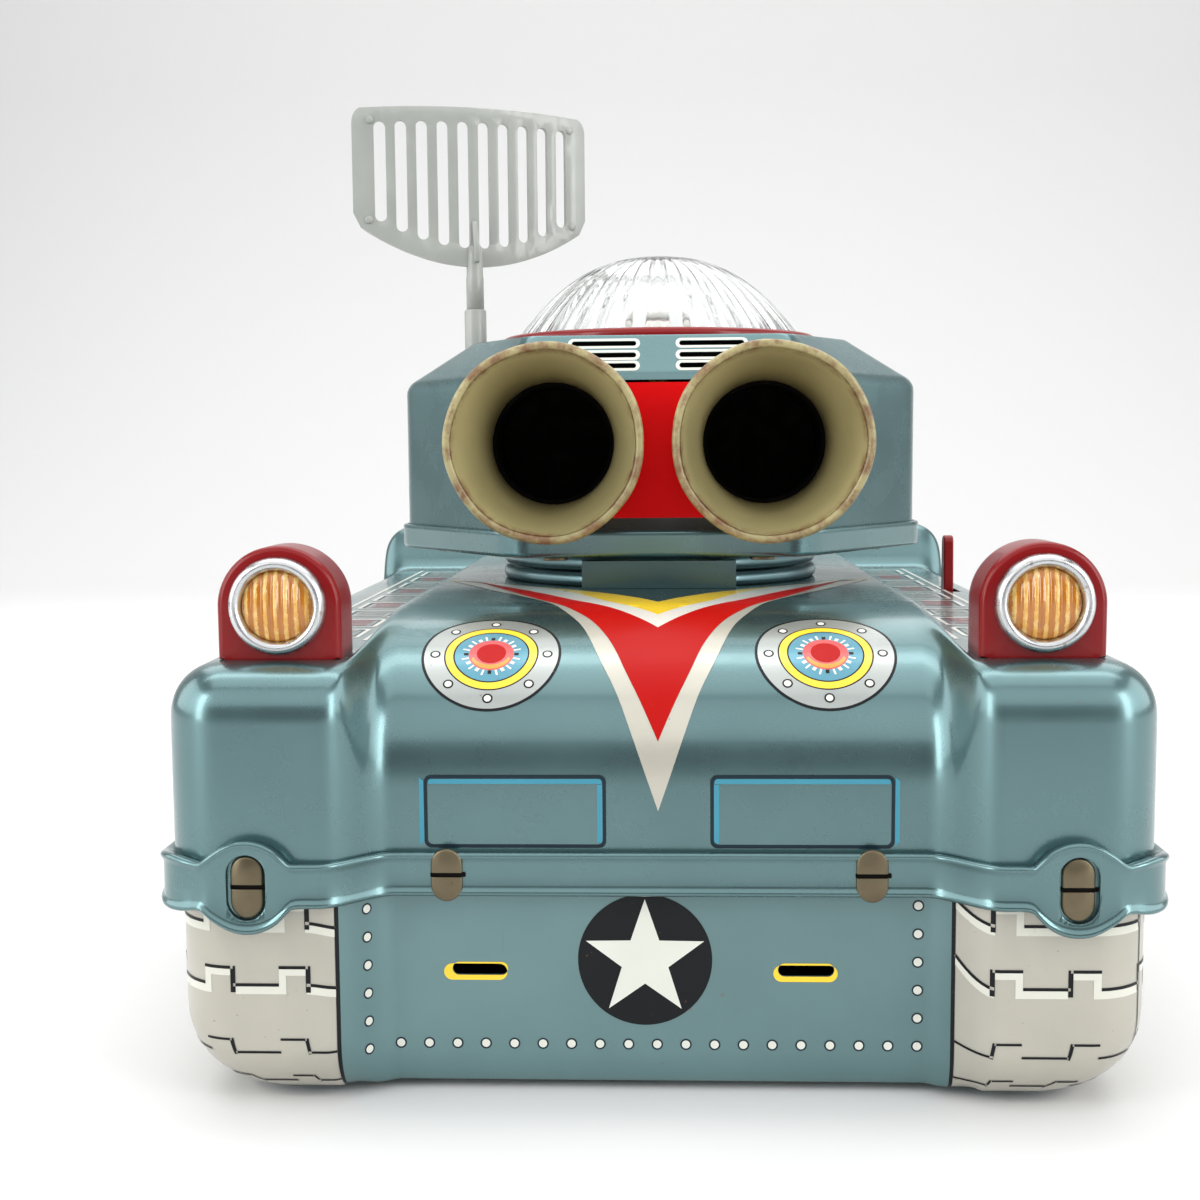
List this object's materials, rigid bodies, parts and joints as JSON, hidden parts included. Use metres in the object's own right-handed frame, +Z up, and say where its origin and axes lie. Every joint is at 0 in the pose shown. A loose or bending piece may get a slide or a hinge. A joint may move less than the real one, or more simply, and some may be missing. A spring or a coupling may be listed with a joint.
{
  "type": "tin toy space tank",
  "caption": "Battery tin toy planet crawler: tracked-look hull, swivelling rocket turret with fluted dome and turning radar screen, headlamp pods, bump-and-go drive carriage.",
  "frame": {"origin": "on the floor under the middle of the hull", "axes": "+Z up, the toy's front faces -Y, +Y is its length"},
  "size_m": [0.1604, 0.244, 0.174],
  "materials": {
    "hull_blue": "metallic blue-green enamel over tinplate",
    "litho_lower": "lithographed tinplate, gloss",
    "red_enamel": "gloss red enamel",
    "tinplate": "bare tinplate",
    "tabs": "aged bare tin lugs",
    "steel": "turned steel",
    "brass": "stamped brass",
    "amber_lens": "ribbed translucent amber",
    "turntable": "metallic blue-green enamel",
    "dark": "matt dark",
    "nozzle_cream": "aged khaki-cream enamel",
    "motor_case": "zinc plated steel",
    "fibre": "pressed fibre",
    "hub_plastic": "moulded plastic",
    "rubber": "moulded rubber",
    "cell_wrap": "plain cell jacket",
    "clear_dome": "clear moulded plastic, fluted",
    "reflector": "bright tinplate",
    "bulb": "clear glass",
    "radar_grey": "grey moulded, slight gloss"
  },
  "bodies": {
    "hull": {"upper_shell": "hull_blue", "lower_shell": "litho_lower", "belt_band": "hull_blue", "belt_tabs": "tabs", "headlamp_housing_left": "red_enamel", "headlamp_housing_right": "red_enamel", "headlamp_bezels": "tinplate", "headlamp_lenses": "amber_lens", "turntable_base": "turntable", "turret_retainer": "tinplate", "neck_block": "hull_blue", "switch_bracket": "tinplate", "switch_contact": "brass", "chassis_plate": "tinplate", "chassis_posts": "tinplate", "chassis_screws": "steel", "gear_bridge": "tinplate", "bridge_posts": "tinplate", "motor_can": "motor_case", "reduction_stud": "steel", "rear_axle_brackets": "tinplate", "battery_box": "tinplate", "battery_cells": "cell_wrap", "battery_springs": "steel", "battery_contacts": "brass", "door_hinge_pin": "steel"},
    "turret": {"turret_shell": "hull_blue", "turret_base": "hull_blue", "turret_tabs": "tabs", "turntable_top": "turntable", "front_panel": "red_enamel", "louvre_backing": "dark", "nozzle_left": "nozzle_cream", "nozzle_right": "nozzle_cream", "throat_tubes": "dark", "nozzle_bulkhead": "tinplate", "side_windows": "amber_lens", "dome": "clear_dome", "dome_ring": "red_enamel", "dome_reflector": "reflector", "lamp_holder": "tinplate", "lamp_bulb": "bulb", "radar_socket": "radar_grey"},
    "radar": {"radar": "radar_grey"},
    "switch": {"switch_lever": "red_enamel"},
    "final_drive": {"final_gear": "brass"},
    "reduction": {"reduction_gear": "brass"},
    "motor_shaft": {"motor_pinion": "brass"},
    "carriage": {"carriage_disc": "tinplate", "carriage_bridge": "tinplate", "carriage_sleeve": "tinplate"},
    "crown": {"crown_wheel": "brass", "clutch_disc": "fibre"},
    "drive_axle": {"drive_axle": "steel", "drive_pinion": "brass", "drive_hubs": "hub_plastic", "drive_tyres": "rubber"},
    "rear_axle": {"rear_axle": "steel", "rear_wheels": "hub_plastic"},
    "battery_door": {"battery_door": "litho_lower"}
  },
  "joints": [
    {"name": "turret_swivel", "type": "hinge", "parent": "hull", "child": "turret", "pos_m": [0, -0.014, 0.079], "axis": [0, 0, 1], "range_deg": [-90, 90]},
    {"name": "radar_turn", "type": "hinge", "parent": "turret", "child": "radar", "pos_m": [-0.0385, -0.02, 0.13], "axis": [0, 0, 1], "continuous": true},
    {"name": "switch_throw", "type": "hinge", "parent": "hull", "child": "switch", "pos_m": [0.0665, 0.012, 0.0622], "axis": [1, 0, 0], "range_deg": [-15, 15]},
    {"name": "final_spin", "type": "hinge", "parent": "hull", "child": "final_drive", "pos_m": [0, -0.045, 0.039], "axis": [0, 0, 1], "continuous": true},
    {"name": "reduction_spin", "type": "hinge", "parent": "hull", "child": "reduction", "pos_m": [0.0216, -0.045, 0.042], "axis": [0, 0, 1], "continuous": true},
    {"name": "motor_spin", "type": "hinge", "parent": "hull", "child": "motor_shaft", "pos_m": [0.0216, -0.0658, 0.042], "axis": [0, 0, 1], "continuous": true},
    {"name": "carriage_steer", "type": "hinge", "parent": "hull", "child": "carriage", "pos_m": [0, -0.045, 0.035], "axis": [0, 0, 1], "continuous": true},
    {"name": "crown_spin", "type": "hinge", "parent": "carriage", "child": "crown", "pos_m": [0, -0.045, 0.021], "axis": [0, 0, 1], "continuous": true},
    {"name": "drive_roll", "type": "hinge", "parent": "carriage", "child": "drive_axle", "pos_m": [0, -0.045, 0.015], "axis": [1, 0, 0], "continuous": true},
    {"name": "rear_roll", "type": "hinge", "parent": "hull", "child": "rear_axle", "pos_m": [0, 0.092, 0.011], "axis": [1, 0, 0], "continuous": true},
    {"name": "door_hinge", "type": "hinge", "parent": "hull", "child": "battery_door", "pos_m": [0, 0.006, 0.0024], "axis": [-1, 0, 0], "range_deg": [0, 100]}
  ],
  "couplings": [
    {"joint": "reduction_spin", "follows": "final_spin", "ratio": -2.8571},
    {"joint": "motor_spin", "follows": "final_spin", "ratio": 9.5238},
    {"joint": "crown_spin", "follows": "drive_roll", "ratio": -0.6}
  ]
}
